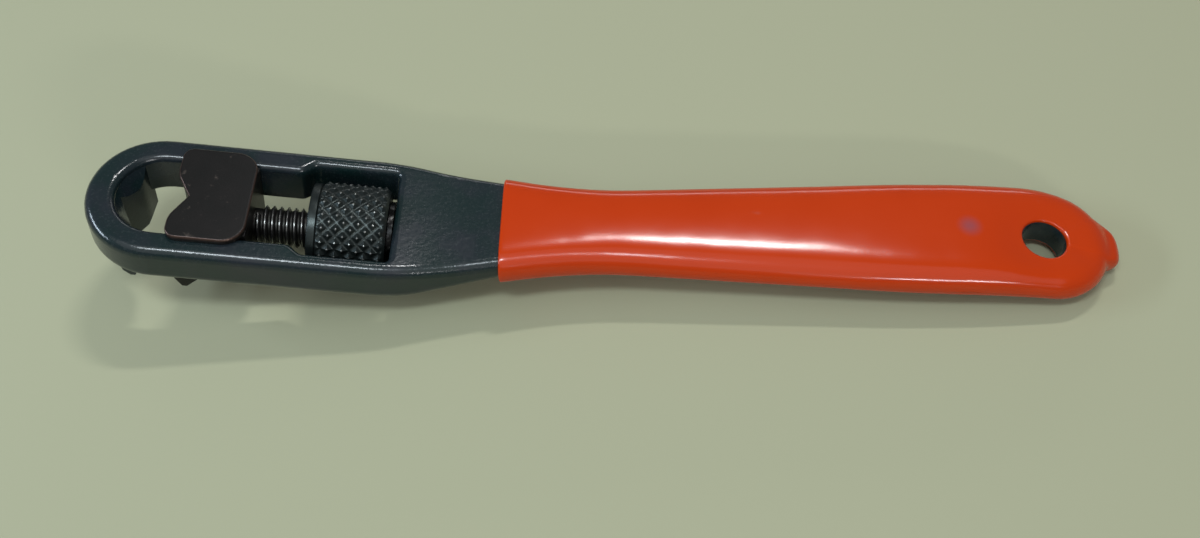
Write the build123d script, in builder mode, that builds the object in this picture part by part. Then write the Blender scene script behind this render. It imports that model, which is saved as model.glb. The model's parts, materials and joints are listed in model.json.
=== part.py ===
# Adjustable box-end wrench: a closed forged loop with a fixed V jaw, a sliding V jaw on a
# threaded stud, a captive thumb nut, and a flat handle dipped in soft vinyl.
#
# Units are millimetres.  The part frame is the resting pose: +Z up, +X towards the handle's
# end, origin at the bottom centre of the bounding box.
#
# Two working frames are used.  The head frame has x along the screw, y across and z up
# through the loop, with its origin on the screw's axis at the loop's far end.  The handle
# frame starts at the lip of the grip and is turned up from the head frame by neck_bend.
import os
from math import asin, atan2, cos, hypot, radians, sin, tan

from build123d import *

os.makedirs("parts", exist_ok=True)

# ---------------------------------------------------------------- driving dimensions
# head forging (stations are along the screw from the loop's far end)
head_top = 7.25  # above the screw's axis
head_bottom = -2.1
slot_half_width = 8.6
slot_end_wall = 5.6
shoulder_lead = 1.8  # from the jaw's back at its widest to the slot's shoulders
shoulder_run = 2.4
shoulder_step = 2.0  # by which the window is wider than the slot, each side
rail_width = 3.4  # of each rail beside the window
outer_top_round = 2.0
outer_bottom_round = 2.7
rail_crown = 0.1  # flat left on top of the rails beside the window
inner_bottom_round = 0.5
shoulder_round = 2.0
window_corner_round = 1.0

# neck and handle bar (distances are along the handle from the grip's lip)
neck_bend = 7.4  # degrees that the handle rises from the head's plane
neck_waist_lead = 0.4  # from the window's wall to where the sides start to draw in
neck_under_lead = 3.4  # from the window's wall to where the underside starts to rise
neck_top_round = 90.0
neck_under_round = 20.0
neck_length = 21.1  # from the window's wall to the grip's lip
lip_rise = 5.85  # height of the bar's middle there, above the screw's axis
bar_thickness = 5.6
waist_half_width = 7.75  # where the straight sides would meet
waist_distance = 15.4
full_half_width = 11.2
full_distance = 79.0
side_round = 60.0
waist_round = 100.0
full_round = 500.0
end_distance = 107.3  # centre of the round end
end_offset = -0.4  # the round end sits a little to one side
end_shoulder_angle = 70.0  # where the far side runs into the round end
end_shoulder_round = 22.0
hole_distance = 105.9
hole_offset = -1.4
hole_radius = 4.3
droop_start = 96.0
droop_angle = 5.0
droop_round = 180.0

# vinyl grip
coat = 1.35
grip_round = 3.1
grip_hole_radius = 4.5
grip_hole_round = 1.0
nub_length = 2.2
nub_offset = -1.1
nub_half_width = 3.7
nub_thickness = 4.4
nub_round = 1.8
nub_tip_round = 1.7

# jaws
jaw_angle = 30.0  # of each arm of the V from the line across the head
jaw_depth = 2.9
jaw_tip_round = 5.0
jaw_bottom = -9.3
jaw_lead_run = 1.2  # slanting lead-in below each jaw's front
jaw_lead_rise = 2.4
jaw_toe = 0.9  # flat length under each jaw
jaw_back_slope = 49.0  # degrees of the slope behind the toe
fixed_jaw_reach = 3.5  # from the slot's end to the ends of the V's arms
fixed_jaw_flare = 0.7  # further forward at the rails than at the arms' ends
fixed_jaw_inset = 0.2  # each side, from the slot's width
funnel_drop = 1.35  # from the head's top to the funnel above the fixed jaw
funnel_angle = 26.0  # degrees of the funnel's wall from the head's upright
mouth_gap = 7.7  # between the ends of the two V's arms at rest
opening_travel = 6.4  # of the sliding jaw, from rest to its widest or its narrowest
jaw_length = 14.6
plate_overlap = 2.1  # over each rail
plate_thickness = 1.3
plate_front_round = 2.2
plate_back_round = 4.4
plate_edge_round = 0.4
plate_notch_offset = -0.9  # the plate's notch is cut a little to one side
foot_overlap = 1.3  # under each rail
body_floor = -6.4
slide_clearance = 0.3  # each side, in the slot
rail_clearance = 0.12  # above and below the rails

# screw, pin, nut and washer
screw_radius = 3.97
thread_pitch = 1.411
thread_depth = 0.72
thread_crest = 0.176  # flat width along each crest
thread_base = 1.24  # width of the ridge at its base
thread_lead_in = 0.8  # from the jaw's back to the thread
thread_runout = 2.0  # plain length at the screw's free end
screw_overhang = 1.6  # past the window's wall at rest
shank_radius = 3.1
shank_length = 9.0
fit_clearance = 0.03
pin_radius = 1.2
pin_chamfer = 0.25
nut_side_gap = 0.85  # to the window's sides
nut_length = 15.0
nut_collar_length = 1.3
nut_collar_step = 0.45
nut_end_gap = 0.4  # to the shoulders
nut_chamfer = 1.0
nut_edge_chamfer = 0.4
nut_bore_clearance = 0.08
washer_radius = 7.0
washer_thickness = 0.9
washer_gap = 0.12  # to the nut
washer_seat_gap = 0.18  # to the window's wall
relief_clearance = 0.45

match_tolerance = 0.02  # for finding edges and corners by where they lie

# ---------------------------------------------------------------- sizes that follow
window_half_width = slot_half_width + shoulder_step
head_half_width = window_half_width + rail_width
inner_top_round = rail_width - outer_top_round - rail_crown
fixed_jaw_half_width = slot_half_width - fixed_jaw_inset
body_half_width = slot_half_width - slide_clearance
plate_half_width = slot_half_width + plate_overlap
foot_half_width = slot_half_width + foot_overlap
nut_radius = window_half_width - nut_side_gap
nut_collar_radius = nut_radius - nut_collar_step
fixed_jaw_tip = slot_end_wall + fixed_jaw_reach
fixed_jaw_top = head_top - funnel_drop
sliding_jaw_tip = fixed_jaw_tip + mouth_gap
sliding_jaw_back = sliding_jaw_tip + jaw_length
shoulder_start = sliding_jaw_back + opening_travel + shoulder_lead
shoulder_end = shoulder_start + shoulder_run
nut_start = shoulder_end + nut_end_gap
nut_end = nut_start + nut_length
window_wall = nut_end + washer_gap + washer_thickness + washer_seat_gap
screw_end = window_wall + screw_overhang
neck_waist_start = window_wall + neck_waist_lead
neck_under_start = window_wall + neck_under_lead
lip_station = window_wall + neck_length

# ---------------------------------------------------------------- working frames
bend = radians(neck_bend)
droop = radians(droop_angle)
back_slope = tan(radians(jaw_back_slope))
jaw_arm = jaw_depth / tan(radians(jaw_angle))
grip_half_thickness = bar_thickness / 2 + coat
end_radius = full_half_width + end_offset
grip_end_radius = end_radius + coat


def on_handle(distance, rise):
    """Head-frame point at a distance along the handle and a rise from its middle."""
    return (
        lip_station + distance * cos(bend) - rise * sin(bend),
        lip_rise + distance * sin(bend) + rise * cos(bend),
    )


def on_droop(distance, rise):
    """The same on the drooping end of the handle, with the rise square to the droop."""
    middle = (droop_start - distance) * tan(droop)
    return on_handle(distance + rise * sin(droop), middle + rise * cos(droop))


# The wrench lies on the nut's back rim and on the underside of the grip's round end.
rim = (nut_end - nut_chamfer, -nut_radius)
heel = on_droop(end_distance + grip_end_radius - grip_round, grip_round - grip_half_thickness)
heel_gap = hypot(heel[0] - rim[0], heel[1] - rim[1])
rest_angle = atan2(heel[1] - rim[1], heel[0] - rim[0]) - asin(grip_round / heel_gap)


def rest_run(point):
    """How far along the floor a head-frame point lies from the screw's origin."""
    return point[0] * cos(rest_angle) + point[1] * sin(rest_angle)


def rest_rise(point):
    """How far a head-frame point stands above the screw's origin."""
    return point[1] * cos(rest_angle) - point[0] * sin(rest_angle)


nose = (0, head_top - outer_top_round)
tail = on_droop(end_distance + grip_end_radius + nub_length, 0)
head_along = Vector(cos(rest_angle), 0, -sin(rest_angle))
head_up = Vector(sin(rest_angle), 0, cos(rest_angle))
head_origin = Vector(-(rest_run(nose) + rest_run(tail)) / 2, 0, -rest_rise(rim))
head = Plane(head_origin, x_dir=head_along, z_dir=head_up)
head_side = Plane(head_origin, x_dir=head_along, z_dir=(0, -1, 0))
screw_axis = Axis(head_origin, head_along)

handle_pitch = rest_angle - bend
handle_along = Vector(cos(handle_pitch), 0, -sin(handle_pitch))
handle_up = Vector(sin(handle_pitch), 0, cos(handle_pitch))
handle = Plane(
    head.from_local_coords(Vector(lip_station, 0, lip_rise)), x_dir=handle_along, z_dir=handle_up
)


def across_screw(station):
    """Plane square to the screw at a station along the head."""
    return Plane(head.from_local_coords(Vector(station, 0, 0)), x_dir=(0, 1, 0), z_dir=head_along)


def edges_round(solid, direction):
    """Edges round the faces that look along direction, without the straight seams across."""
    faces = solid.faces().filter_by(lambda face: face.normal_at().dot(direction) > 0.9)
    return faces.edges().filter_by(
        lambda edge: edge.geom_type != GeomType.LINE or abs(edge.tangent_at(0.5).Y) < 0.999
    )


def window_rim(solid, level):
    """Edges of the slot and window at a level of the head."""
    found = ShapeList()
    for edge in solid.edges():
        place = head.to_local_coords(edge.center())
        inside = abs(place.Y) < window_half_width + match_tolerance
        along = slot_end_wall - match_tolerance < place.X < window_wall + match_tolerance
        if inside and along and abs(place.Z - level) < match_tolerance:
            found.append(edge)
    return found


def hole_lips(solid):
    """Outer edges of the coat round the hanging hole."""
    centre = Vector(hole_distance, hole_offset, (droop_start - hole_distance) * tan(droop))
    found = ShapeList()
    for edge in solid.edges():
        places = [handle.to_local_coords(edge @ share) - centre for share in (0.2, 0.5, 0.8)]
        on_ring = all(
            abs(hypot(place.X, place.Y) - grip_hole_radius) < match_tolerance for place in places
        )
        if on_ring and all(abs(place.Z) > grip_half_thickness - coat / 2 for place in places):
            found.append(edge)
    return found


# ---------------------------------------------------------------- jaw shapes
def jaw_plan(back, tip, half_width, notch_offset=0.0, flare=0.0):
    """Corners of a jaw seen from above: a block from back to tip with a V in its tip."""
    root = tip - jaw_depth if tip > back else tip + jaw_depth
    return [
        (back, -half_width),
        (tip + flare, -half_width),
        (tip, notch_offset - jaw_arm),
        (root, notch_offset),
        (tip, notch_offset + jaw_arm),
        (tip + flare, half_width),
        (back, half_width),
    ]


def corners_at(sketch, *places):
    """Corners of a sketch at the given places."""
    return sketch.vertices().filter_by(
        lambda corner: any(hypot(corner.X - x, corner.Y - y) < match_tolerance for x, y in places)
    )


def jaw_side(back, front, top):
    """Corners of a jaw seen from the side: upright front, lead-in, flat toe, sloping back."""
    way = 1 if back > front else -1
    toe_start = front + way * jaw_lead_run
    toe_end = toe_start + way * jaw_toe
    back_floor = jaw_bottom + abs(toe_end - back) * back_slope
    return [
        (back, top),
        (front, top),
        (front, jaw_bottom + jaw_lead_rise),
        (toe_start, jaw_bottom),
        (toe_end, jaw_bottom),
        (back, back_floor),
    ]


# ---------------------------------------------------------------- frame
def handle_sides(before_waist, growth, place):
    """Both long sides and the round end of the handle, growth outside the bare bar.

    before_waist holds the corners ahead of the waist on the far side, and place turns a
    distance along the handle into the sketch's own x.
    """
    full = full_half_width + growth
    round_end = end_radius + growth
    meet = radians(end_shoulder_angle)
    meet_rise = end_offset + round_end * sin(meet)
    meet_distance = end_distance + round_end * cos(meet)
    corner_distance = meet_distance - (full - meet_rise) * tan(meet)
    waist = [
        (place(waist_distance), waist_half_width + growth),
        (place(full_distance), full),
    ]
    neck_rounds = [side_round] * (len(before_waist) - 1)
    far = FilletPolyline(
        *before_waist,
        *waist,
        (place(corner_distance), full),
        (place(meet_distance), meet_rise),
        radius=neck_rounds + [waist_round, full_round, end_shoulder_round],
    )
    near = FilletPolyline(
        *[(x, -y) for x, y in before_waist + waist],
        (place(end_distance), -full),
        radius=neck_rounds + [waist_round, full_round],
    )
    ThreePointArc(far @ 1, (place(end_distance + round_end), end_offset), near @ 1)
    return far, near


def handle_side_view(half_thickness, finish):
    """Top and underside of the handle as seen from the side, from the lip to past its end."""
    top = FilletPolyline(
        on_handle(0, half_thickness),
        on_handle(droop_start, half_thickness),
        on_droop(finish, half_thickness),
        radius=droop_round,
    )
    under = FilletPolyline(
        on_handle(0, -half_thickness),
        on_handle(droop_start, -half_thickness),
        on_droop(finish, -half_thickness),
        radius=droop_round,
    )
    Line(top @ 0, under @ 0)
    Line(top @ 1, under @ 1)


bar_finish = end_distance + end_radius + bar_thickness
bar_lip_top = on_handle(0, bar_thickness / 2)
top_bend_station = bar_lip_top[0] - (bar_lip_top[1] - head_top) / tan(bend)
slot_centre = slot_end_wall + slot_half_width

with BuildPart() as fixed_jaw:
    with BuildSketch(head.offset(jaw_bottom)) as fixed_jaw_plan:
        with BuildLine():
            Polyline(
                jaw_plan(0, fixed_jaw_tip, fixed_jaw_half_width, flare=fixed_jaw_flare),
                close=True,
            )
        make_face()
        fillet(
            corners_at(fixed_jaw_plan, (fixed_jaw_tip, jaw_arm), (fixed_jaw_tip, -jaw_arm)),
            jaw_tip_round,
        )
        # its back follows the loop's round end
        with Locations((head_half_width, 0)):
            Circle(head_half_width - outer_bottom_round, mode=Mode.INTERSECT)
    extrude(amount=fixed_jaw_top - jaw_bottom)
    with BuildSketch(head_side):
        with BuildLine():
            Polyline(
                jaw_side(outer_bottom_round, fixed_jaw_tip + fixed_jaw_flare, fixed_jaw_top),
                close=True,
            )
        make_face()
    extrude(amount=head_half_width, both=True, mode=Mode.INTERSECT)
    # a funnel from the loop's rim down to the V
    with BuildSketch(head.offset(fixed_jaw_top)):
        with Locations((slot_centre, 0)):
            Circle(slot_half_width)
    extrude(amount=jaw_bottom / 2, taper=funnel_angle, mode=Mode.SUBTRACT)

with BuildPart() as frame:
    # side view: level head, bend in the neck, rising bar with a drooping end
    with BuildSketch(head_side):
        with BuildLine():
            top_line = FilletPolyline(
                (0, head_top),
                (top_bend_station, head_top),
                on_handle(droop_start, bar_thickness / 2),
                on_droop(bar_finish, bar_thickness / 2),
                radius=[neck_top_round, droop_round],
            )
            under_line = FilletPolyline(
                (0, head_bottom),
                (neck_under_start, head_bottom),
                on_handle(0, -bar_thickness / 2),
                on_handle(droop_start, -bar_thickness / 2),
                on_droop(bar_finish, -bar_thickness / 2),
                radius=[neck_under_round, neck_under_round, droop_round],
            )
            Line(top_line @ 0, under_line @ 0)
            Line(top_line @ 1, under_line @ 1)
        make_face()
    extrude(amount=2 * head_half_width, both=True)
    # plan view: round loop, straight rails, waisted bar with a round end
    with BuildSketch(head):
        with BuildLine():
            handle_sides(
                [(head_half_width, head_half_width), (neck_waist_start, head_half_width)],
                0,
                lambda distance: lip_station + distance * cos(bend),
            )
            ThreePointArc(
                (head_half_width, head_half_width), (0, 0), (head_half_width, -head_half_width)
            )
        make_face()
    extrude(amount=2 * end_distance, both=True, mode=Mode.INTERSECT)
    fillet(edges_round(frame.part, head_up), outer_top_round)
    fillet(edges_round(frame.part, head_up * -1), outer_bottom_round)

    # slot for the sliding jaw, and the wider window for the nut
    with BuildSketch(head) as opening_plan:
        with BuildLine():
            Polyline(
                (slot_centre, slot_half_width),
                (shoulder_start, slot_half_width),
                (shoulder_end, window_half_width),
                (window_wall, window_half_width),
                (window_wall, -window_half_width),
                (shoulder_end, -window_half_width),
                (shoulder_start, -slot_half_width),
                (slot_centre, -slot_half_width),
            )
            ThreePointArc(
                (slot_centre, slot_half_width), (slot_end_wall, 0), (slot_centre, -slot_half_width)
            )
        make_face()
        fillet(
            corners_at(
                opening_plan,
                (shoulder_start, slot_half_width),
                (shoulder_start, -slot_half_width),
                (shoulder_end, window_half_width),
                (shoulder_end, -window_half_width),
            ),
            shoulder_round,
        )
        fillet(opening_plan.vertices().group_by(Axis.X)[-1], window_corner_round)
    extrude(amount=2 * head_half_width, both=True, mode=Mode.SUBTRACT)

    fillet(window_rim(frame.part, head_top), inner_top_round)
    fillet(window_rim(frame.part, head_bottom), inner_bottom_round)
    add(fixed_jaw.part)
    # clearance for the screw's end, under the neck
    with BuildSketch(across_screw(window_wall)):
        Circle(screw_radius + relief_clearance)
    extrude(
        amount=screw_end + opening_travel + relief_clearance - window_wall, mode=Mode.SUBTRACT
    )
    # hanging hole
    with BuildSketch(handle):
        with Locations((hole_distance, hole_offset)):
            Circle(hole_radius)
    extrude(amount=head_half_width, both=True, mode=Mode.SUBTRACT)

frame.part.label = "frame"
export_step(frame.part, "parts/frame.step")

# ---------------------------------------------------------------- grip
grip_finish = end_distance + grip_end_radius + grip_half_thickness
grip_before_waist = neck_waist_start - lip_station

with BuildPart() as grip:
    with BuildSketch(head_side):
        with BuildLine():
            handle_side_view(grip_half_thickness, grip_finish)
        make_face()
    extrude(amount=2 * head_half_width, both=True)
    with BuildSketch(handle):
        with BuildLine():
            grip_far, grip_near = handle_sides(
                [(grip_before_waist, head_half_width + coat)], coat, lambda distance: distance
            )
            Line(grip_far @ 0, grip_near @ 0)
        make_face()
    extrude(amount=2 * head_half_width, both=True, mode=Mode.INTERSECT)
    fillet(edges_round(grip.part, handle_up) + edges_round(grip.part, handle_up * -1), grip_round)
    # the drip that the dipping left at the tip
    drip_root = on_droop(end_distance, 0)
    drip_pitch = handle_pitch + droop
    drip_along = Vector(cos(drip_pitch), 0, -sin(drip_pitch))
    drip_origin = head.from_local_coords(Vector(drip_root[0], nub_offset, drip_root[1]))
    with BuildSketch(Plane(drip_origin, x_dir=(0, 1, 0), z_dir=drip_along)):
        RectangleRounded(2 * nub_half_width, nub_thickness, nub_round)
    extrude(amount=grip_end_radius + nub_length)
    fillet(grip.faces().sort_by(Axis(drip_origin, drip_along))[-1].edges(), nub_tip_round)
    # the coat is what lies outside the bar, open at the hanging hole
    add(frame.part, mode=Mode.SUBTRACT)
    with BuildSketch(handle):
        with Locations((hole_distance, hole_offset)):
            Circle(grip_hole_radius)
    extrude(amount=head_half_width, both=True, mode=Mode.SUBTRACT)

    fillet(hole_lips(grip.part), grip_hole_round)

grip.part.label = "grip"
export_step(grip.part, "parts/grip.step")

# ---------------------------------------------------------------- sliding jaw
plate_under = head_top + rail_clearance
foot_top = head_bottom - rail_clearance
toe_start = sliding_jaw_tip + jaw_lead_run
toe_end = toe_start + jaw_toe
foot_back = toe_end + (foot_top - jaw_bottom) / back_slope
floor_start = toe_end + (body_floor - jaw_bottom) / back_slope
pin_station = sliding_jaw_back - shank_length / 2
pin_plane = Plane(
    head.from_local_coords(Vector(pin_station, 0, 0)), x_dir=head_along, z_dir=(0, -1, 0)
)
arm_ends = [(sliding_jaw_tip, jaw_arm), (sliding_jaw_tip, -jaw_arm)]

with BuildPart() as jaw_feet:
    # feet that reach out under both rails
    with BuildSketch(head.offset(jaw_bottom)) as feet_plan:
        with BuildLine():
            Polyline(jaw_plan(foot_back, sliding_jaw_tip, foot_half_width), close=True)
        make_face()
        fillet(corners_at(feet_plan, *arm_ends), jaw_tip_round)
    extrude(amount=foot_top - jaw_bottom)
    with BuildSketch(head_side):
        with BuildLine():
            Polyline(jaw_side(foot_back, sliding_jaw_tip, foot_top), close=True)
        make_face()
    extrude(amount=head_half_width, both=True, mode=Mode.INTERSECT)

with BuildPart() as jaw_plate:
    # cover plate that rides on both rails
    with BuildSketch(head.offset(plate_under)) as plate_plan:
        with BuildLine():
            Polyline(
                jaw_plan(sliding_jaw_back, sliding_jaw_tip, plate_half_width, plate_notch_offset),
                close=True,
            )
        make_face()
        notch_ends = [(x, y + plate_notch_offset) for x, y in arm_ends]
        fillet(corners_at(plate_plan, *notch_ends), jaw_tip_round)
        fillet(
            corners_at(
                plate_plan,
                (sliding_jaw_tip, plate_half_width),
                (sliding_jaw_tip, -plate_half_width),
            ),
            plate_front_round,
        )
        fillet(plate_plan.vertices().group_by(Axis.X)[-1], plate_back_round)
    extrude(amount=plate_thickness)
    fillet(edges_round(jaw_plate.part, head_up), plate_edge_round)

with BuildPart() as sliding_jaw:
    # body through the slot
    with BuildSketch(head.offset(jaw_bottom)) as body_plan:
        with BuildLine():
            Polyline(jaw_plan(sliding_jaw_back, sliding_jaw_tip, body_half_width), close=True)
        make_face()
        fillet(corners_at(body_plan, *arm_ends), jaw_tip_round)
        # its front follows the slot's round end when the jaw is closed
        SlotCenterPoint(
            (slot_centre + opening_travel + jaw_length, 0),
            (slot_centre + opening_travel, 0),
            2 * body_half_width,
            mode=Mode.INTERSECT,
        )
    extrude(amount=plate_under - jaw_bottom)
    with BuildSketch(head_side):
        with BuildLine():
            Polyline(
                (sliding_jaw_tip, plate_under),
                (sliding_jaw_tip, jaw_bottom + jaw_lead_rise),
                (toe_start, jaw_bottom),
                (toe_end, jaw_bottom),
                (floor_start, body_floor),
                (sliding_jaw_back, body_floor),
                (sliding_jaw_back, plate_under),
                close=True,
            )
        make_face()
    extrude(amount=head_half_width, both=True, mode=Mode.INTERSECT)
    add(jaw_feet.part)
    add(jaw_plate.part)
    with BuildSketch(across_screw(sliding_jaw_back)):
        Circle(shank_radius + fit_clearance)
    extrude(amount=-shank_length - fit_clearance, mode=Mode.SUBTRACT)
    with BuildSketch(pin_plane):
        Circle(pin_radius + fit_clearance)
    extrude(amount=head_half_width, both=True, mode=Mode.SUBTRACT)

sliding_jaw.part.label = "sliding_jaw"
export_step(sliding_jaw.part, "parts/sliding_jaw.step")

# ---------------------------------------------------------------- adjusting screw
root_radius = screw_radius - thread_depth
ridge_sink = 0.1  # the thread's ridge starts this far inside the core
ridge_start = head.from_local_coords(Vector(sliding_jaw_back + thread_lead_in, 0, 0))

with BuildPart() as thread_ridge:
    with BuildLine() as ridge_path:
        Helix(
            thread_pitch,
            screw_end - sliding_jaw_back - thread_lead_in - thread_runout,
            root_radius - ridge_sink,
            center=ridge_start,
            direction=head_along,
        )
    ridge_edge = ridge_path.edge()
    outwards = ridge_edge @ 0 - ridge_start
    with BuildSketch(Plane(ridge_edge @ 0, x_dir=outwards, z_dir=ridge_edge % 0)):
        with BuildLine():
            Polyline(
                (0, thread_base / 2),
                (thread_depth + ridge_sink, thread_crest / 2),
                (thread_depth + ridge_sink, -thread_crest / 2),
                (0, -thread_base / 2),
                close=True,
            )
        make_face()
    sweep(is_frenet=True)

with BuildPart() as adjusting_screw:
    with BuildSketch(across_screw(sliding_jaw_back - shank_length)):
        Circle(shank_radius)
    extrude(amount=shank_length)
    with BuildSketch(across_screw(sliding_jaw_back)):
        Circle(root_radius)
    extrude(amount=screw_end - sliding_jaw_back)
    add(thread_ridge.part)
    with BuildSketch(pin_plane):
        Circle(pin_radius + fit_clearance)
    extrude(amount=head_half_width, both=True, mode=Mode.SUBTRACT)

adjusting_screw.part.label = "adjusting_screw"
export_step(adjusting_screw.part, "parts/adjusting_screw.step")

with BuildPart() as screw_pin:
    with BuildSketch(pin_plane):
        Circle(pin_radius)
    extrude(amount=body_half_width, both=True)
    chamfer(screw_pin.edges().filter_by(GeomType.CIRCLE), pin_chamfer)

screw_pin.part.label = "screw_pin"
export_step(screw_pin.part, "parts/screw_pin.step")

# ---------------------------------------------------------------- knurled nut and washer
nut_bore = screw_radius + nut_bore_clearance
collar_end = nut_start + nut_collar_length

with BuildPart() as knurled_nut:
    # drawn lying flat, so the turned surface's seam lies to the side of the nut
    with BuildSketch(head):
        with BuildLine():
            Polyline(
                (nut_start, nut_bore + nut_edge_chamfer),
                (nut_start, nut_collar_radius - nut_edge_chamfer),
                (nut_start + nut_edge_chamfer, nut_collar_radius),
                (collar_end, nut_collar_radius),
                (collar_end + nut_radius - nut_collar_radius, nut_radius),
                (nut_end - nut_chamfer, nut_radius),
                (nut_end, nut_radius - nut_chamfer),
                (nut_end, nut_bore + nut_edge_chamfer),
                (nut_end - nut_edge_chamfer, nut_bore),
                (nut_start + nut_edge_chamfer, nut_bore),
                close=True,
            )
        make_face()
    revolve(axis=screw_axis)

knurled_nut.part.label = "knurled_nut"
export_step(knurled_nut.part, "parts/knurled_nut.step")

with BuildPart() as thrust_washer:
    with BuildSketch(across_screw(nut_end + washer_gap)):
        Circle(washer_radius)
        Circle(screw_radius + relief_clearance, mode=Mode.SUBTRACT)
    extrude(amount=washer_thickness)

thrust_washer.part.label = "thrust_washer"
export_step(thrust_washer.part, "parts/thrust_washer.step")
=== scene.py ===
# %% [markdown]
# # An adjustable box-end wrench
#
# The wrench is a dark forged loop with a fixed V jaw at its far end, a brown sliding jaw on a
# threaded stud, a knurled thumb nut in a window, and a flat handle dipped in orange vinyl.
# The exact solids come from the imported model. This lesson gives them their finishes, and models
# anew the two pieces whose solids are plain: the nut, which needs its knurl, and the soft grip.

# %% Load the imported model
import json
from math import asin, atan2, ceil, cos, degrees, hypot, pi, radians, sin, sqrt, tan

import bmesh
import bpy
from mathutils import Matrix, Vector


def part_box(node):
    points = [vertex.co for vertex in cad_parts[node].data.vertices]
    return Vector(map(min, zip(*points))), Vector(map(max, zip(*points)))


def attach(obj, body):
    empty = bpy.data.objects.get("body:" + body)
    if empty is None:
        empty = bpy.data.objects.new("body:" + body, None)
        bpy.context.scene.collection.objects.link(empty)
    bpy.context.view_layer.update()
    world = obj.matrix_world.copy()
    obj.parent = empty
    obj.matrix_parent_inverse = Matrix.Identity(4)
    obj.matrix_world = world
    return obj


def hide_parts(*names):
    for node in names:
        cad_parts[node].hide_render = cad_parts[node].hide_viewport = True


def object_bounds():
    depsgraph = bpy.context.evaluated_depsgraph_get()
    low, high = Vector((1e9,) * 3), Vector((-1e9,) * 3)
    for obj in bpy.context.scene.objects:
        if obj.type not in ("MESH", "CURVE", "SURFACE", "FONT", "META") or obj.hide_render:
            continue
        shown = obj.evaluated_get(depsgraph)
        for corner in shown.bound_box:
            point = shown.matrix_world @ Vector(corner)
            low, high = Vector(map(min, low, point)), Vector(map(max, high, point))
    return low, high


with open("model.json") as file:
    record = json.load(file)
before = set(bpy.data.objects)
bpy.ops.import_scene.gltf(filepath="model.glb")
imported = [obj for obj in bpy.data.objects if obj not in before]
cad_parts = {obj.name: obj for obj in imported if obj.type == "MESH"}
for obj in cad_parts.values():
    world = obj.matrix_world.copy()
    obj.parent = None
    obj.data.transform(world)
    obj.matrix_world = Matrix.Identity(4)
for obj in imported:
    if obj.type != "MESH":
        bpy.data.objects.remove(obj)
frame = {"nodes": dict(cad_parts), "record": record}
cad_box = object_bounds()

MM = 0.001
nodes = frame["nodes"]
record = frame["record"]
scene = bpy.context.scene
print("CAD box in mm:", [[round(edge / MM, 2) for edge in corner] for corner in cad_box])

# %% [markdown]
# ## Directions
#
# The wrench lies at rest on its nut and on the end of its handle, so neither the head nor the
# handle is level. The record knows both directions: the jaw slides along the screw, and the
# mounts point along the handle and through the hanging hole. Each piece below is built in one
# of two small frames made from them.

# %% Read the directions from the record
joints = {joint["name"]: joint for joint in record["behaviour"]["joints"]}
mounts = {mount["name"]: mount for mount in record["mounts"]}


def plane_frame(origin, along, up):
    """A frame with x along, z up and y to the wrench's far side, as a matrix."""
    x_axis = Vector(along).normalized()
    z_axis = Vector(up).normalized()
    y_axis = z_axis.cross(x_axis)
    columns = Matrix((x_axis, y_axis, z_axis)).transposed().to_4x4()
    return Matrix.Translation(Vector(origin)) @ columns


screw_centre = joints["nut_spin"]["pos_m"]
screw_along = Vector(joints["nut_spin"]["axis"])
screw_up = Vector(mounts["jaw_mouth"]["axis"])
nut_frame = plane_frame(screw_centre, screw_along, screw_up)

HOLD_FROM_LIP = 60 * MM  # the hand's mount lies this far behind the grip's lip
handle_along = Vector(mounts["handle_hold"]["axis"])
handle_up = Vector(mounts["hanging_hole"]["axis"])
lip_centre = Vector(mounts["handle_hold"]["pos_m"]) - handle_along * HOLD_FROM_LIP
grip_frame = plane_frame(lip_centre, handle_along, handle_up)

print("screw slopes down by", round(degrees(asin(-screw_along.z)), 2), "degrees")
print("handle slopes down by", round(degrees(asin(-handle_along.z)), 2), "degrees")

# %% [markdown]
# ## Camera
#
# A small tool is usually shown from above and in front, close enough for some perspective.
# Three angles and a distance say that more plainly than a matrix: where the view points, how
# steeply it looks down, and how far the camera is rolled about its own axis.

# %% Place the camera
VIEW_TURN = radians(-4.74)  # from straight across the wrench, towards the jaws
VIEW_DROP = radians(55.27)
VIEW_ROLL = radians(-4.3)
VIEW_DISTANCE = 256.8 * MM
VIEW_TARGET = Vector((-2.5, -1.7, 0)) * MM
SENSOR_WIDTH, LENS_LENGTH = 36, 37.9  # the camera's own settings take these in millimetres
NEAR_CLIP = 10 * MM


def add_to_scene(name, data):
    """A new object in the scene that holds a camera, a lamp or a mesh."""
    thing = bpy.data.objects.new(name, data)
    scene.collection.objects.link(thing)
    return thing


forward = Vector(
    (
        sin(VIEW_TURN) * cos(VIEW_DROP),
        cos(VIEW_TURN) * cos(VIEW_DROP),
        -sin(VIEW_DROP),
    )
)
level = forward.cross(Vector((0, 0, 1))).normalized()
right = level * cos(VIEW_ROLL) + level.cross(forward) * sin(VIEW_ROLL)
turn = Matrix((right, right.cross(forward), -forward)).transposed().to_4x4()

camera_data = bpy.data.cameras.new("camera")
camera_data.sensor_width = SENSOR_WIDTH
camera_data.lens = LENS_LENGTH
camera_data.clip_start = NEAR_CLIP
camera = add_to_scene("camera", camera_data)
camera.matrix_world = Matrix.Translation(VIEW_TARGET - forward * VIEW_DISTANCE) @ turn
bpy.context.scene.camera = camera
print("camera stands", round(camera.location.z / MM), "mm above the floor")

# %% [markdown]
# ## Shader maths as expressions
#
# A finish is easier to read as arithmetic than as wiring. `Value` wraps one socket, and each
# operator on it adds a Math node, also when a plain number comes first, as in `1 - mask`.
# `Finish` holds one material and adds every other kind of node by its type, its settings and
# what goes into its sockets.


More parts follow.
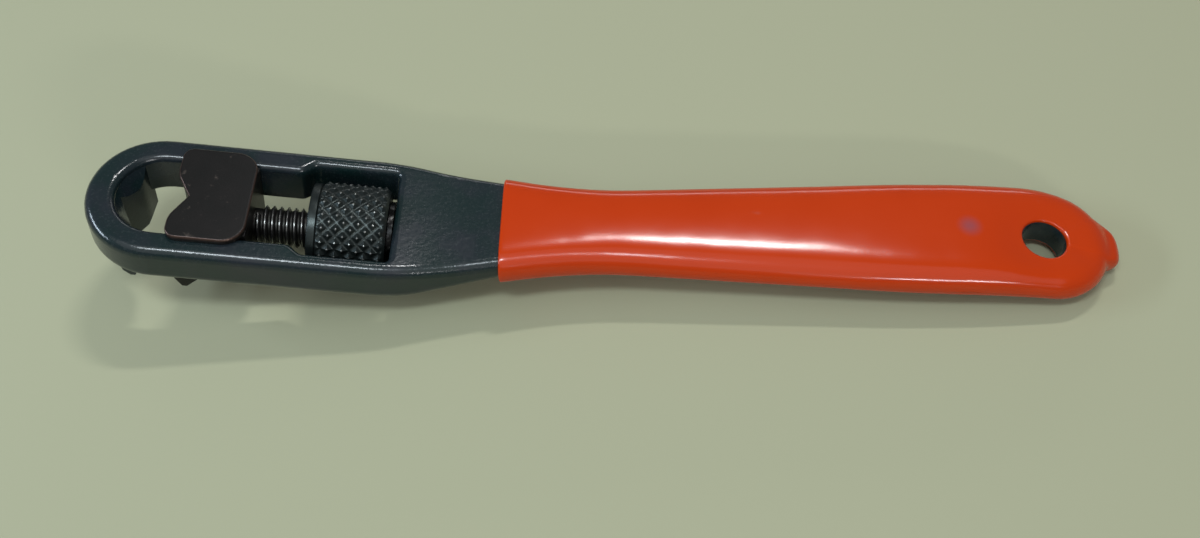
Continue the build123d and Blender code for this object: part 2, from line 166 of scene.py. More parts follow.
# %% A value in a shader
class Value:
    """One output socket, on which ordinary arithmetic adds Math nodes."""

    def __init__(self, finish, socket):
        self.finish = finish
        self.socket = socket

    def __add__(self, other):
        return self.finish.math("ADD", self, other)

    def __radd__(self, other):
        return self.finish.math("ADD", other, self)

    def __sub__(self, other):
        return self.finish.math("SUBTRACT", self, other)

    def __rsub__(self, other):
        return self.finish.math("SUBTRACT", other, self)

    def __mul__(self, other):
        return self.finish.math("MULTIPLY", self, other)

    def __rmul__(self, other):
        return self.finish.math("MULTIPLY", other, self)


# %% A material and its nodes
MIX_FIRST, MIX_SECOND, MIX_RESULT = 6, 7, 2  # where the Mix node keeps its sockets for colours


class Finish:
    """One material, with short ways to add its nodes."""

    def __init__(self, name):
        self.material = bpy.data.materials.new(name)
        self.material.use_nodes = True
        self.tree = self.material.node_tree
        self.shader = self.tree.nodes["Principled BSDF"]
        self.place = self.add("ShaderNodeTexCoord").outputs["Object"]

    def add(self, kind, settings=None, inputs=None):
        """A node of this type, with its settings made first and then its sockets filled."""
        node = self.tree.nodes.new(kind)
        for name, value in (settings or {}).items():
            setattr(node, name, value)
        for name, value in (inputs or {}).items():
            self.fill(node.inputs[name], value)
        return node

    def fill(self, socket, value):
        """Link a value or a socket, or set a plain number, vector or colour."""
        if isinstance(value, Value):
            value = value.socket
        if isinstance(value, bpy.types.NodeSocket):
            self.tree.links.new(value, socket)
        elif socket.type == "RGBA" and len(value) == 3:
            socket.default_value = (*value, 1)
        else:
            socket.default_value = value

    def math(self, operation, first, second):
        """One Math node, which every operator of Value comes to."""
        node = self.add("ShaderNodeMath", {"operation": operation}, {0: first, 1: second})
        return Value(self, node.outputs[0])

    def vector_math(self, operation, first, second=(0, 0, 0)):
        """One Vector Math node, whose outputs are a Vector and a Value."""
        inputs = {0: first, 1: second}
        return self.add("ShaderNodeVectorMath", {"operation": operation}, inputs).outputs

    def noise(self, size, detail=3.0, roughness=0.5):
        """Cloudy noise from 0 to 1 whose largest features are about size metres across."""
        inputs = {
            "Vector": self.place,
            "Scale": 1 / size,
            "Detail": detail,
            "Roughness": roughness,
        }
        return Value(self, self.add("ShaderNodeTexNoise", None, inputs).outputs["Fac"])

    def step(self, value, low, high):
        """0 below low, 1 above high, and a soft rise between them."""
        node = self.add(
            "ShaderNodeMapRange",
            {"interpolation_type": "SMOOTHSTEP"},
            {"Value": value, "From Min": low, "From Max": high},
        )
        return Value(self, node.outputs["Result"])

    def mix(self, factor, first, second):
        """A colour between two others."""
        inputs = {"Factor": factor, MIX_FIRST: first, MIX_SECOND: second}
        return self.add("ShaderNodeMix", {"data_type": "RGBA"}, inputs).outputs[MIX_RESULT]

    def axis_distance(self, point, along):
        """How far the surface lies from a line, in metres."""
        offset = self.vector_math("SUBTRACT", self.place, point)["Vector"]
        cross = self.vector_math("CROSS_PRODUCT", offset, along)["Vector"]
        return Value(self, self.vector_math("LENGTH", cross)["Value"])

    def along_axis(self, point, along):
        """How far the surface lies along a line from a point on it, in metres."""
        offset = self.vector_math("SUBTRACT", self.place, point)["Vector"]
        return Value(self, self.vector_math("DOT_PRODUCT", offset, along)["Value"])

    def spot(self, centre, reach):
        """1 at a point, falling to 0 at reach metres from it."""
        distance = Value(self, self.vector_math("DISTANCE", self.place, centre)["Value"])
        return 1 - self.step(distance, 0.0, reach)

    def bump(self, *layers):
        """Small relief: each layer is a height from 0 to 1 and its depth in metres."""
        normal = None
        for height, depth in layers:
            inputs = {"Height": height, "Distance": depth, "Strength": 1.0}
            if normal is not None:
                inputs["Normal"] = normal
            normal = self.add("ShaderNodeBump", None, inputs).outputs["Normal"]
        self.fill(self.shader.inputs["Normal"], normal)

    def set(self, **sockets):
        """Fill the shader's own sockets, named with underscores for spaces."""
        for name, value in sockets.items():
            self.fill(self.shader.inputs[name.replace("_", " ")], value)


def dress(thing, finish):
    """Give an object one material."""
    thing.data.materials.clear()
    thing.data.materials.append(finish.material)
    print(thing.name, "has", finish.material.name, "with", len(finish.tree.nodes), "nodes")


# %% [markdown]
# ## Floor and light
#
# The floor is one large plain sheet. Dark steel and glossy vinyl show mostly what they mirror, so
# the lights are placed by what each surface sees. A narrow strip above and behind draws the long
# line on the grip's crown, a box above the head draws the edges of the rails, a low one in front
# draws the grip's near edge, and a blue one to the left rounds off the nose. A weak one behind,
# a very large soft light and the pale surroundings fill the rest.

# %% Lay the floor
FLOOR_SIZE = 4000 * MM
bpy.ops.mesh.primitive_plane_add(size=FLOOR_SIZE, location=(0, 0, cad_box[0][2]))
floor = bpy.context.object
floor.name = "floor"
floor_finish = Finish("floor_sheet")
floor_finish.set(Base_Color=(0.335, 0.342, 0.228), Roughness=0.85, Specular_IOR_Level=0.25)
dress(floor, floor_finish)


# %% Hang the lights
def soft_box(name, place, size, power, colour=(1, 1, 1)):
    """A rectangular lamp in millimetres that faces the wrench, its first side level."""
    lamp = bpy.data.lights.new(name, "AREA")
    lamp.shape = "RECTANGLE"
    lamp.size, lamp.size_y = (side * MM for side in size)
    lamp.energy = power
    lamp.color = colour
    away = Vector(place).normalized()
    level_side = (Vector((1, 0, 0)) - away * away.x).normalized()
    facing = Matrix((level_side, away.cross(level_side), away)).transposed().to_4x4()
    add_to_scene(name, lamp).matrix_world = Matrix.Translation(Vector(place) * MM) @ facing
    print(name, "hangs", place[2], "mm up and gives", power, "W")


soft_box("ceiling_box", (102, 262, 600), (130, 28), 1.3)
soft_box("head_box", (-75, -190, 600), (215, 80), 1.6, (0.84, 0.94, 1.0))
soft_box("tip_box", (242, -560, 285), (170, 34), 0.9)
soft_box("left_box", (-530, -40, 290), (60, 300), 1.5, (0.72, 0.86, 1.0))
soft_box("back_box", (140, 760, 230), (620, 70), 0.5)

# a very large and distant soft light, which reaches the whole floor evenly
ROOM_SPREAD, ROOM_TILT = radians(70), radians(28)
room = bpy.data.lights.new("room_light", "SUN")
room.energy = 0.6
room.angle = ROOM_SPREAD
add_to_scene("room_light", room).rotation_euler = (ROOM_TILT, 0, 0)

world = bpy.data.worlds.new("room")
scene.world = world
world.use_nodes = True
surround = world.node_tree.nodes["Background"]
surround.inputs["Color"].default_value = (0.93, 0.96, 1.0, 1)
surround.inputs["Strength"].default_value = 0.20

scene.view_settings.view_transform = "Standard"

# %% [markdown]
# ## Black oxide on the forging
#
# Black oxide is a thin dark film on steel. It shines like dull metal, blue-grey where it is
# thin and almost black elsewhere, over the fine orange peel that forging and blasting leave.

# %% Finish the forging
def black_oxide():
    steel = Finish("black_oxide_steel")
    cloud = steel.noise(9 * MM, detail=4)
    speckle = steel.noise(0.55 * MM, detail=3, roughness=0.6)
    flecks = steel.step(speckle, 0.52, 0.78)
    tint = steel.mix(steel.step(cloud, 0.35, 0.68), (0.005, 0.015, 0.015), (0.012, 0.016, 0.021))
    steel.set(
        Base_Color=steel.mix(flecks * 0.2, tint, (0.07, 0.08, 0.08)),
        Roughness=0.15 + 0.04 * speckle + 0.05 * cloud,
        Specular_IOR_Level=0.47,
    )
    peel = steel.noise(0.9 * MM, detail=2)
    steel.bump((peel, 0.03 * MM), (speckle, 0.012 * MM))
    return steel


dress(nodes["frame"], black_oxide())

# %% [markdown]
# ## Brown oxide on the sliding jaw
#
# The jaw is another steel, so the same bath leaves it plum brown and more matt. Its plate has
# been handled: a few small bright scuffs, and a top edge worn towards copper, whose band is also
# a painted highlight.

# %% Finish the jaw
PLATE_TOP = 8.67 * MM  # above the screw's axis
RIM_START = 0.07 * MM  # how far below the plate's top the worn band, also a painted highlight, is at its full
RIM_END, RIM_GONE = 0.4 * MM, 0.75 * MM  # where the band starts to fade, and where it is gone
TOP_SLACK = 0.01 * MM  # keeps the flat top itself out of the band


def brown_oxide():
    steel = Finish("brown_oxide_steel")
    cloud = steel.noise(5 * MM, detail=3)
    grain = steel.noise(0.4 * MM, detail=2)
    scuffs = steel.step(steel.noise(2.2 * MM, detail=5, roughness=0.65), 0.60, 0.76)
    height = steel.along_axis(mounts["jaw_mouth"]["pos_m"], screw_up)
    # the band below the plate's top edge is worn copper and also a painted highlight, lighter and
    # glossier
    below_top = 1 - steel.step(height, PLATE_TOP - RIM_START, PLATE_TOP - TOP_SLACK)
    rim = below_top * steel.step(height, PLATE_TOP - RIM_GONE, PLATE_TOP - RIM_END)
    tint = steel.mix(cloud, (0.007, 0.0075, 0.0070), (0.013, 0.0115, 0.0110))
    worn = steel.mix(scuffs * 0.4, tint, (0.16, 0.13, 0.11))
    steel.set(
        # the band's copper colour is edge wear and also a painted highlight
        Base_Color=steel.mix(rim, worn, (0.075, 0.048, 0.040)),
        Metallic=0.4 + 0.3 * rim,
        Roughness=0.30 + 0.12 * grain - 0.06 * rim,
        Specular_IOR_Level=0.25,
    )
    steel.bump((grain, 0.015 * MM))
    return steel


jaw_finish = brown_oxide()
dress(nodes["sliding_jaw"], jaw_finish)
dress(nodes["screw_pin"], jaw_finish)

# %% [markdown]
# ## Oiled thread and washer
#
# A rolled thread is dark in its grooves and polished on its crests by the nut. The distance
# from the screw's axis tells one from the other. The washer is plain steel, rubbed bright in
# places by the nut that turns against it.

# %% Finish the thread and the washer
CREST_START, CREST_FULL = 3.45 * MM, 3.9 * MM  # radii between which a crest takes its polish


def oiled_thread():
    steel = Finish("oiled_thread_steel")
    crest = steel.step(steel.axis_distance(screw_centre, screw_along), CREST_START, CREST_FULL)
    steel.set(
        Base_Color=steel.mix(crest, (0.028, 0.028, 0.026), (0.13, 0.13, 0.125)),
        Metallic=0.9,
        Roughness=0.42 - 0.16 * crest,
    )
    steel.bump((steel.noise(0.3 * MM), 0.01 * MM))
    return steel


def bright_steel():
    steel = Finish("bright_washer_steel")
    rub = steel.noise(0.8 * MM, detail=4)
    rubbed = steel.step(rub, 0.5, 0.75)
    steel.set(
        Base_Color=steel.mix(rubbed, (0.010, 0.010, 0.010), (0.08, 0.08, 0.078)),
        Metallic=1.0,
        Roughness=0.22 + 0.15 * rub,
    )
    return steel


dress(nodes["adjusting_screw"], oiled_thread())
dress(nodes["thrust_washer"], bright_steel())

# %% [markdown]
# ## Knurled nut
#
# A knurl is rolled in by two crossed wheels. Each leaves a set of slanting grooves, and what
# stays between them is rows of small pyramids. One grid wrapped round the nut can hold all of
# it: the nut's profile gives each point a radius, and the grooves then take their depth off.
# The grid's step is a whole fraction of the knurl's pitch both ways, so points of the grid lie
# along the middle of every groove.

# %% Shape of the nut
nut_low, nut_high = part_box("knurled_nut")
NUT_RADIUS = (nut_high.y - nut_low.y) / 2
NUT_LENGTH = 15.0 * MM
NUT_BORE = 4.05 * MM
NUT_CHAMFER = 1.0 * MM
COLLAR_LENGTH = 1.7 * MM
COLLAR_RADIUS = NUT_RADIUS - 0.45 * MM
COLLAR_STEP = 0.3 * MM  # the knurl starts this much below the collar and rises at 45 degrees
EDGE_ROUND, EDGE_STEPS = 0.3 * MM, 4
KNURLS_ROUND = 22
KNURL_PITCH = 2 * pi * NUT_RADIUS / KNURLS_ROUND
KNURL_DEPTH = 0.55 * MM
GROOVE_FLOOR = 0.09  # half of a groove's flat floor, as a share of the groove's spacing
KNURL_TIP = 0.45  # where a pyramid's flat tip starts, as a share of the groove's spacing
STEPS_PER_PITCH = 16
SHARP_ANGLE = radians(35)


def knurl_height(along, around):
    """0 on a groove's floor and 1 on a pyramid's tip."""
    heights = []
    for sign in (1, -1):
        across = (along + sign * around) / KNURL_PITCH
        from_groove = abs(across - round(across))
        heights.append((from_groove - GROOVE_FLOOR) / (KNURL_TIP - GROOVE_FLOOR))
    return max(0.0, min(1.0, *heights))


def nut_profile(along):
    """Radius of the plain nut at a distance from its collar's end, and whether it is knurled."""
    if along < EDGE_ROUND:
        drop = EDGE_ROUND - along
        return COLLAR_RADIUS - EDGE_ROUND + sqrt(EDGE_ROUND**2 - drop**2), False
    if along < COLLAR_LENGTH:
        return COLLAR_RADIUS, False
    radius = min(NUT_RADIUS, COLLAR_RADIUS - COLLAR_STEP + (along - COLLAR_LENGTH))
    return min(radius, NUT_RADIUS - NUT_CHAMFER + (NUT_LENGTH - along)), True


def nut_stations(step):
    """Where the grid's rows lie: the collar's round and edge, then even steps to the far end."""
    turns = [turn * pi / (2 * EDGE_STEPS) for turn in range(EDGE_STEPS + 1)]
    stations = [EDGE_ROUND * (1 - cos(turn)) for turn in turns]
    stations += [COLLAR_LENGTH - step, COLLAR_LENGTH]
    first = ceil(COLLAR_LENGTH / step + 0.5)
    last = int(NUT_LENGTH / step - 0.5)
    stations += [index * step for index in range(first, last + 1)]
    return stations + [NUT_LENGTH]


print("nut radius", round(NUT_RADIUS / MM, 2), "mm, knurl pitch", round(KNURL_PITCH / MM, 2), "mm")


# %% Build the nut
def knurled_nut():
    step = KNURL_PITCH / STEPS_PER_PITCH
    columns = KNURLS_ROUND * STEPS_PER_PITCH
    stations = nut_stations(step)
    start = -NUT_LENGTH / 2
    rings = []
    for along in stations:
        plain, knurled = nut_profile(along)
        radii = [plain] * columns
        if knurled:
            for column in range(columns):
                height = knurl_height(along, column * step)
                radii[column] = min(plain, NUT_RADIUS - KNURL_DEPTH + KNURL_DEPTH * height)
        rings.append((start + along, radii))
    rings += [(end, [NUT_BORE] * columns) for end in (start, start + NUT_LENGTH)]

    vertices = []
    for place, radii in rings:
        for column, radius in enumerate(radii):
            angle = 2 * pi * column / columns
            vertices.append((place, radius * cos(angle), radius * sin(angle)))

    # the rows run over the outside, then in at the far end and back through the bore
    outside = list(range(len(stations)))
    bore_start, bore_end = len(rings) - 2, len(rings) - 1
    order = outside + [bore_end, bore_start]
    faces = []
    for row, next_row in zip(order, order[1:] + order[:1]):
        for column in range(columns):
            beside = (column + 1) % columns
            corners = ((row, column), (row, beside), (next_row, beside), (next_row, column))
            faces.append([line * columns + place for line, place in corners])

    mesh = bpy.data.meshes.new("nut")
    mesh.from_pydata([nut_frame @ Vector(vertex) for vertex in vertices], [], faces)
    mesh.shade_smooth()
    mesh.set_sharp_from_angle(angle=SHARP_ANGLE)
    print("nut:", len(faces), "faces,", KNURLS_ROUND, "pyramids round it")
    return add_to_scene("thumb_nut", mesh)


# %% [markdown]
# The nut's steel is dark in the grooves and rubbed bright on the pyramids' tips, so its finish
# reads the distance from the screw's axis too.

# %% Finish the nut
TIP_START, TIP_FULL = NUT_RADIUS - 0.09 * MM, NUT_RADIUS - 0.01 * MM


def knurled_steel():
    steel = Finish("knurled_nut_steel")
    tip = steel.step(steel.axis_distance(screw_centre, screw_along), TIP_START, TIP_FULL)
    grime = steel.noise(1.6 * MM, detail=4)
    flank = steel.mix(grime, (0.012, 0.017, 0.017), (0.032, 0.040, 0.038))
    steel.set(
        Base_Color=steel.mix(tip, flank, (0.26, 0.27, 0.26)),
        Metallic=0.7,
        Roughness=0.26 + 0.10 * grime - 0.06 * tip,
    )
    steel.bump((steel.noise(0.35 * MM), 0.012 * MM))
    return steel


thumb_nut = knurled_nut()
dress(thumb_nut, knurled_steel())
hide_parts("knurled_nut")
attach(thumb_nut, "nut")

# %% [markdown]
# ## Dipped grip
#
# Liquid vinyl leaves a coat with no hard edge: the top is slightly crowned, the sides are round,
# the rim of the hanging hole rolls in, and the last drop hangs at the tip as a nub. So the coat
# is one height over its outline. The height depends on how far a point lies inside the outline,
# and each of the other forms adds to it or takes from it.
#
# The outline comes first. It is straight lines that change slope softly, as a dipped edge does,
# and one arc round the end.

# %% Outline of the grip, in the handle's frame
hole_centre = grip_frame.inverted() @ Vector(mounts["hanging_hole"]["pos_m"])
HOLE_SETBACK = 0.04 * MM  # the coat's rim leaves this much of the bar's edge bare
HOLE_RADIUS = mounts["hanging_hole"]["dims"]["r_mm"] * MM + HOLE_SETBACK
COAT = 1.35 * MM
HALF_THICKNESS = 4.15 * MM
LIP_HALF_WIDTH = 11.76 * MM
WAIST_PLACE, WAIST_HALF_WIDTH = 15.4 * MM, 9.1 * MM
FULL_PLACE, FULL_HALF_WIDTH = 79 * MM, 12.55 * MM
WAIST_BLEND, FULL_BLEND = 11.3 * MM, 13.5 * MM
END_PLACE, END_OFFSET = 107.3 * MM, -0.4 * MM
END_RADIUS = FULL_HALF_WIDTH + END_OFFSET
SHOULDER_PLACE, SHOULDER_SLOPE, SHOULDER_BLEND = 107.3 * MM, -tan(radians(20)), 4 * MM
SHOULDER_END = radians(70)  # where the shoulder meets the end's arc, as a turn round its centre
SEAM = 88 * MM  # where the strips of the handle meet the fan round the hanging hole
FAR_OUT = 60 * MM  # farther from the hole than the outline is in any direction asked for
HALVINGS = 32  # of that distance, which is far finer than a micrometre


def bent_line(place, corner, height, slope_before, slope_after, blend):
    """A line that changes slope at a corner, rounded over blend on each side of it."""
    past = place - corner
    if past < -blend:
        return height + slope_before * past
    if past > blend:
        return height + slope_after * past
    change = slope_after - slope_before
    return height + slope_before * past + change * (past + blend) ** 2 / (4 * blend)


def half_width(place):
    """Half of the grip's width along its straight part."""
    narrowing = (WAIST_HALF_WIDTH - LIP_HALF_WIDTH) / WAIST_PLACE
    widening = (FULL_HALF_WIDTH - WAIST_HALF_WIDTH) / (FULL_PLACE - WAIST_PLACE)
    if place < (WAIST_PLACE + FULL_PLACE) / 2:
        return bent_line(place, WAIST_PLACE, WAIST_HALF_WIDTH, narrowing, widening, WAIST_BLEND)
    return bent_line(place, FULL_PLACE, FULL_HALF_WIDTH, widening, 0, FULL_BLEND)


def far_side(place):
    """The far side, which draws in before the round end."""
    draw_in = bent_line(place, SHOULDER_PLACE, 0, 0, SHOULDER_SLOPE, SHOULDER_BLEND)
    return half_width(place) + draw_in


def inside(place, side):
    """Whether a point of the plan lies inside the grip's outline, without the nub."""
    if place <= END_PLACE:
        return -half_width(place) <= side <= far_side(place)
    if hypot(place - END_PLACE, side - END_OFFSET) <= END_RADIUS:
        return True
    return 0 < side <= far_side(place) and place - END_PLACE <= END_RADIUS * cos(SHOULDER_END)


def reach(angle):
    """Distance from the hanging hole's centre to the outline in a direction, by halving."""
    low, high = 0.0, FAR_OUT
    for _ in range(HALVINGS):
        middle = (low + high) / 2
        if inside(hole_centre.x + middle * cos(angle), hole_centre.y + middle * sin(angle)):
            low = middle
        else:
            high = middle
    return low


print("hanging hole", round(hole_centre.x / MM, 1), "mm behind the lip")

# %% [markdown]
# The heights come next. A high power keeps the coat's top almost flat until close to its side,
# and a bell-shaped fall gives the dish round the hole and the dent beside it, because vinyl that
# flowed has no edge where a hollow begins.

# %% Heights of the coat
CROWN, END_CROWN = 0.9 * MM, 0.3 * MM
CROWN_POWER = 6
SIDE_POWER = 2.0
CROWN_END, CROWN_FADE = 62 * MM, 20 * MM
RIM_ROUND = 0.55 * MM
DISH_DEPTH, DISH_WIDTH = 0.7 * MM, 4.5 * MM
DROOP_PLACE, DROOP_SLOPE, DROOP_BLEND = 96 * MM, -tan(radians(5)), 7.9 * MM
DIMPLE_PLACE, DIMPLE_SIDE, DIMPLE_SIZE, DIMPLE_DEPTH = 113.5 * MM, -4.5 * MM, 2.4 * MM, 0.3 * MM
BELL_BASE = 2.718  # close to e


def bell(offset):
    """1 at the middle, with a soft fall to a third at 1 and to almost nothing at 2."""
    return BELL_BASE ** -(offset**2)


def middle_height(place):
    """Height of the coat's middle, which droops near the end."""
    return bent_line(place, DROOP_PLACE, 0, 0, DROOP_SLOPE, DROOP_BLEND)


def crown_height(place):
    """How far the coat's middle stands proud of its shoulders: most where a hand holds it."""
    share = min(1.0, max(0.0, (place - CROWN_END) / CROWN_FADE))
    start = min(1.0, max(0.0, place / CROWN_FADE))
    return CROWN * start + (END_CROWN - CROWN) * share * share * (3 - 2 * share)


def coat_height(inset, full_inset, place):
    """Half thickness at a distance inside the outline: a crowned top with round sides."""
    crown = crown_height(place)
    from_middle = max(0.0, 1 - inset / full_inset)
    shoulder = (1 - from_middle**CROWN_POWER) ** (1 / SIDE_POWER)
    return (HALF_THICKNESS - crown) * shoulder + crown * (1 - from_middle**2)


def rim_drop(from_centre):
    """How far the dished coat and the rolled rim of the hanging hole lie below the coat."""
    dish = DISH_DEPTH * bell((from_centre - HOLE_RADIUS) / DISH_WIDTH)
    into_rim = HOLE_RADIUS + RIM_ROUND - from_centre
    if into_rim <= 0:
        return dish
    return dish + RIM_ROUND - sqrt(max(0.0, RIM_ROUND**2 - into_rim**2))


def dimple(place, side):
    """A shallow dent left beside the hole."""
    return DIMPLE_DEPTH * bell(hypot(place - DIMPLE_PLACE, side - DIMPLE_SIDE) / DIMPLE_SIZE)


print("half of the thickness", HALF_THICKNESS / MM, "mm, of which", CROWN / MM, "mm are crown")

# %% [markdown]
# The mesh has two stretches. Strips run from the lip to a seam, and from there a fan of rays
# spreads from the hanging hole to the outline, so that the hole's rim and the round end both
# follow the rays. The strips start where the fan's rays cross the seam, and so the two fit.

# %% Rays of the fan
SEAM_STRIPS = 26
END_RAYS = 94
RAY_STEPS = 18


def ray_angles():
    """The strips' places across the seam, the rays to them, and the rays to the round end."""
    width = half_width(SEAM)
    shares = [sin(pi * (index / SEAM_STRIPS - 0.5)) for index in range(SEAM_STRIPS + 1)]
    seam = [atan2(share * width - hole_centre.y, SEAM - hole_centre.x) for share in shares]
    seam = [angle % (2 * pi) for angle in seam]
    first, last = seam[-1], seam[0] - 2 * pi
    rest = [first + (last - first) * index / END_RAYS for index in range(1, END_RAYS)]
    return shares, seam, rest


def ray_points(angle, length):
    """Plan points along one ray, closer at its ends, and their distances from the centre."""
    points = []
    for index in range(RAY_STEPS + 1):
        share = (1 - cos(pi * index / RAY_STEPS)) / 2
        distance = HOLE_RADIUS + (length - HOLE_RADIUS) * share
        place = hole_centre.x + distance * cos(angle)
        side = hole_centre.y + distance * sin(angle)
        points.append((place, side, distance))
    return points


# %% [markdown]
# A coat's height follows from how far inside the outline a point lies. Along the handle that is
# the distance to the nearer side. Round the end no one formula gives it, because the shoulder
# and the arc meet there, so it is measured to a dense line along the outline.

# %% Distance inside the outline
OUTLINE_STEPS = 360
OUTLINE_TURN = 0.92 * pi  # the outline is followed this far round from the tip, both ways
SIDES_ONLY = 6 * MM  # farther than this before the seam, the nearest outline is the side


def end_outline():
    """The outline round the end as a dense line, for measuring how far inside it a point lies."""
    line = []
    for index in range(OUTLINE_STEPS + 1):
        angle = -OUTLINE_TURN + 2 * OUTLINE_TURN * index / OUTLINE_STEPS
        length = reach(angle)
        place = hole_centre.x + length * cos(angle)
        line.append(Vector((place, hole_centre.y + length * sin(angle))))
    return line


end_line = end_outline()


def inset_of(place, side):
    """How far a plan point lies inside the outline."""
    if place < SEAM - SIDES_ONLY:
        return max(0.0, half_width(place) - abs(side))
    point = Vector((place, side))
    nearest = min(range(len(end_line)), key=lambda index: (end_line[index] - point).length_squared)
    best = (end_line[nearest] - point).length
    for other in (nearest - 1, nearest + 1):
        if 0 <= other < len(end_line):
            start, end = end_line[nearest], end_line[other]
            edge = end - start
            share = max(0.0, min(1.0, (point - start).dot(edge) / edge.length_squared))
            best = min(best, (start + edge * share - point).length)
    return best


print("the hole's centre lies", round(inset_of(*hole_centre.xy) / MM, 1), "mm inside the outline")

# %% [markdown]
# The nub is what dripped off last. It is a thin blunt tongue past the round end, square on its
# near side and sloping away on its far one. A ray that meets it runs on to the nub's tip, and
# the two thicknesses are blended by a high power, which leaves a soft neck between them.

# %% Heights along a ray
NUB_SIDE, NUB_HALF_WIDTH, NUB_FAR_BLEND = -0.9 * MM, 3.7 * MM, 4.4 * MM
NUB_LENGTH, NUB_HALF_THICKNESS, NUB_TIP_ROUND = 2.2 * MM, 2.2 * MM, 1.8 * MM
NUB_FLAT = 0.7  # the far slope starts at this share of the half width
NUB_CORNER_POWER = 7
NUB_EDGE_RISE = 4  # how fast the nub gets its thickness from its sides inwards
NUB_BLEND_POWER = 4


def nub_share(side):
    """1 along the blunt nub, 0 past its sides: a notch on the near side, a slope on the far one."""
    off = (side - NUB_SIDE) / NUB_HALF_WIDTH
    if off > NUB_FLAT:
        return max(0.0, 1 - (side - NUB_SIDE - NUB_FLAT * NUB_HALF_WIDTH) / NUB_FAR_BLEND)
    return sqrt(1 - abs(off) ** NUB_CORNER_POWER) if off > -1 else 0.0


def coat_row(angle, length):
    """Points of the coat along one ray and their half thicknesses."""
    row = []
    for place, side, distance in ray_points(angle, length):
        full_inset = min(half_width(min(place, END_PLACE)), END_RADIUS)
        thickness = coat_height(inset_of(place, side), full_inset, place) - rim_drop(distance)
        row.append((place, side, thickness))
    return row


def nub_row(angle, length, share):
    """The same along a ray that runs on into the nub."""
    row = []
    for place, side, distance in ray_points(angle, length):
        body = 0.0
        if inside(place, side):
            body = coat_height(inset_of(place, side), END_RADIUS, place)
            body = max(0.0, body - rim_drop(distance))
        tip = max(0.0, 1 - (length - distance) / NUB_TIP_ROUND)
        nub = NUB_HALF_THICKNESS * min(1.0, NUB_EDGE_RISE * share) * sqrt(max(0.0, 1 - tip**2))
        powers = body**NUB_BLEND_POWER + nub**NUB_BLEND_POWER
        row.append((place, side, powers ** (1 / NUB_BLEND_POWER)))
    return row


def fan_row(angle, crosses_seam):
    """One ray of the fan, from the hole's edge to the seam, the outline or the nub's tip."""
    length = (SEAM - hole_centre.x) / cos(angle) if crosses_seam else reach(angle)
    row = coat_row(angle, length)
    place, side, _ = row[-1]
    share = nub_share(side) if place > END_PLACE else 0.0
    return nub_row(angle, length + NUB_LENGTH * share, share) if share > 0 else row


print("the nub stands", round(NUB_LENGTH / MM, 1), "mm past the round end")

# %% [markdown]
# Each point of the plan gives two vertices, one on the upper side and one on the lower side.
# Two rows of such pairs, side by side, are joined by faces above and below. That is all the
# fan and the strips need, with short walls inside the hanging hole and inside the lip.

# %% Build the grip
HANDLE_STEPS = 52
LIP_ROUND = 0.45 * MM
LIP_STEPS = 4
UPPER, LOWER = 0, 1


def vertex_pair(vertices, place, side, thickness, dent=0.0):
    """Add a vertex on each side of the coat, and give the numbers of the two."""
    middle = middle_height(place)
    vertices.append((place, side, middle + thickness - dent))
    vertices.append((place, side, middle - thickness))
    return len(vertices) - 2, len(vertices) - 1


def skin(row, beside, reversed_side):
    """Faces between two rows of vertex pairs; those of one side run the other way round."""
    faces = []
    for index in range(len(row) - 1):
        corners = (row[index], row[index + 1], beside[index + 1], beside[index])
        for level in (UPPER, LOWER):
            face = [corner[level] for corner in corners]
            faces.append(face[::-1] if level == reversed_side else face)
    return faces


def wall(pair, beside):
    """The face that joins the upper and the lower side between two vertex pairs."""
    return [pair[UPPER], beside[UPPER], beside[LOWER], pair[LOWER]]


def strip_stations():
    """Where the strips' rows lie and how far each is drawn in: the handle, the lip, its face."""
    stations = [(SEAM * (1 - index / HANDLE_STEPS), 0.0) for index in range(1, HANDLE_STEPS)]
    for index in range(LIP_STEPS + 1):
        angle = index / LIP_STEPS * pi / 2
        stations.append((LIP_ROUND * (1 - sin(angle)), LIP_ROUND * (1 - cos(angle))))
    return stations + [(0.0, COAT + LIP_ROUND)]


def dipped_grip():
    shares, seam, rest = ray_angles()
    vertices, faces = [], []

    # the fan round the hanging hole
    fan = []
    for number, angle in enumerate(seam + rest):
        row = fan_row(angle, number < len(seam))
        fan.append(
            [
                vertex_pair(vertices, place, side, thickness, dimple(place, side))
                for place, side, thickness in row
            ]
        )
    for ray, beside in zip(fan, fan[1:] + fan[:1]):
        faces += skin(ray, beside, LOWER)
        faces.append(wall(ray[0], beside[0]))

    # the strips from the seam to the lip
    previous = [ray[-1] for ray in fan[: len(seam)]]
    for place, drawn_in in strip_stations():
        width = half_width(place) - drawn_in
        ring = []
        for share in shares:
            side = share * width
            thickness = coat_height(width - abs(side), width, place) - drawn_in
            ring.append(vertex_pair(vertices, place, side, max(0.0, thickness)))
        faces += skin(previous, ring, UPPER)
        previous = ring
    faces += [wall(pair, beside) for pair, beside in zip(previous, previous[1:])]

    mesh = bpy.data.meshes.new("grip_coat")
    mesh.from_pydata([grip_frame @ Vector(vertex) for vertex in vertices], [], faces)
    return add_to_scene("vinyl_coat", mesh)


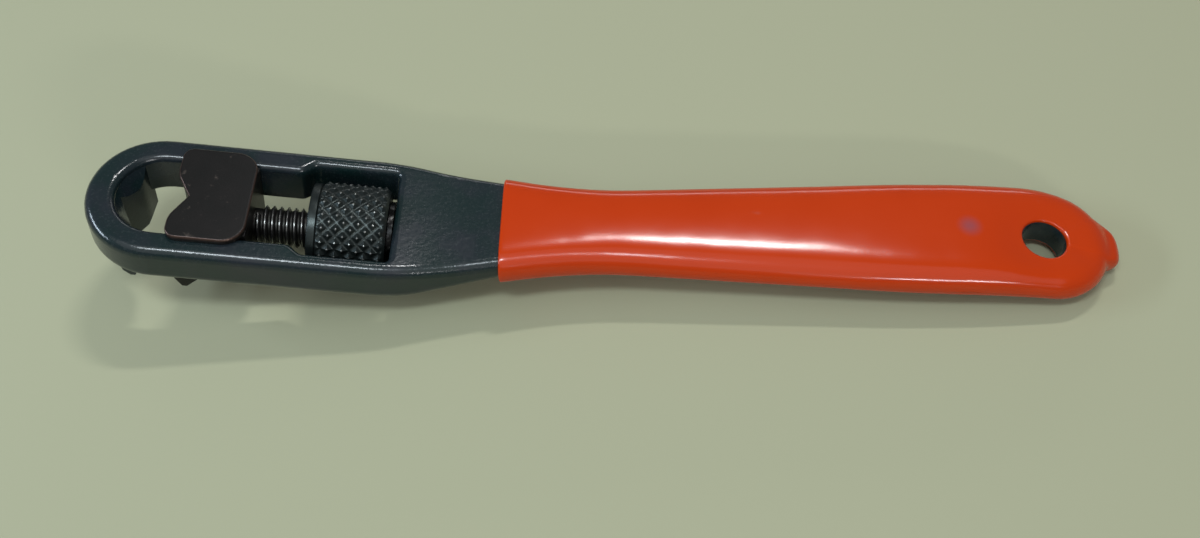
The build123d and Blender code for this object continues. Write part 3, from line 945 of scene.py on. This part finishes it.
# %% [markdown]
# The coat has no thickness left at its outline, so the two vertices of a pair meet there and
# are welded. Round the end that isn't quite so: the dish still reaches the outline, and takes
# the upper side up to 0.14 mm below the lower one. The two sides cross there and their edges
# stay open, which the print below counts. A subdivision then rounds the faces, as the liquid did.

# %% Close the grip and smooth it
WELD_DISTANCE = 0.004 * MM


def close_up(thing):
    """Weld the vertices that meet, face every side outwards, smooth it and count open edges."""
    work = bmesh.new()
    work.from_mesh(thing.data)
    bmesh.ops.remove_doubles(work, verts=work.verts, dist=WELD_DISTANCE)
    bmesh.ops.recalc_face_normals(work, faces=work.faces)
    open_edges = sum(1 for edge in work.edges if len(edge.link_faces) != 2)
    work.to_mesh(thing.data)
    work.free()
    thing.data.shade_smooth()
    print(thing.name, "has", len(thing.data.polygons), "faces and", open_edges, "open edges")


vinyl_coat = dipped_grip()
close_up(vinyl_coat)
smooth = vinyl_coat.modifiers.new("smooth", "SUBSURF")
smooth.levels = smooth.render_levels = 1

# %% [markdown]
# Dipped vinyl is coloured right through and very glossy, with a faint waviness where it ran, a
# few rubbed marks, where its gloss is lower, and one small dark blot before the hanging hole.

# %% Finish the grip
BLOT_CENTRE = Vector((91.2, 0.2, 5)) * MM  # in the handle's frame
BLOT_REACH = 3.2 * MM


def dipped_vinyl():
    vinyl = Finish("dipped_vinyl")
    cloud = vinyl.noise(14 * MM, detail=2)
    smudge = vinyl.step(vinyl.noise(6 * MM, detail=3), 0.70, 0.80)
    blot = vinyl.spot(grip_frame @ BLOT_CENTRE, BLOT_REACH)
    body = vinyl.mix(cloud, (0.425, 0.030, 0.0), (0.46, 0.034, 0.0))
    rubbed = vinyl.mix(smudge * 0.3, body, (0.34, 0.06, 0.03))
    vinyl.set(
        Base_Color=vinyl.mix(blot * 0.7, rubbed, (0.16, 0.07, 0.10)),
        Roughness=0.13 + 0.05 * cloud + 0.15 * smudge,
        Specular_IOR_Level=0.4,
    )
    waves, grain = vinyl.noise(7 * MM, detail=1), vinyl.noise(0.8 * MM, detail=2)
    vinyl.bump((waves, 0.05 * MM), (grain, 0.004 * MM))
    return vinyl


dress(vinyl_coat, dipped_vinyl())
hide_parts("grip")
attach(vinyl_coat, "wrench")
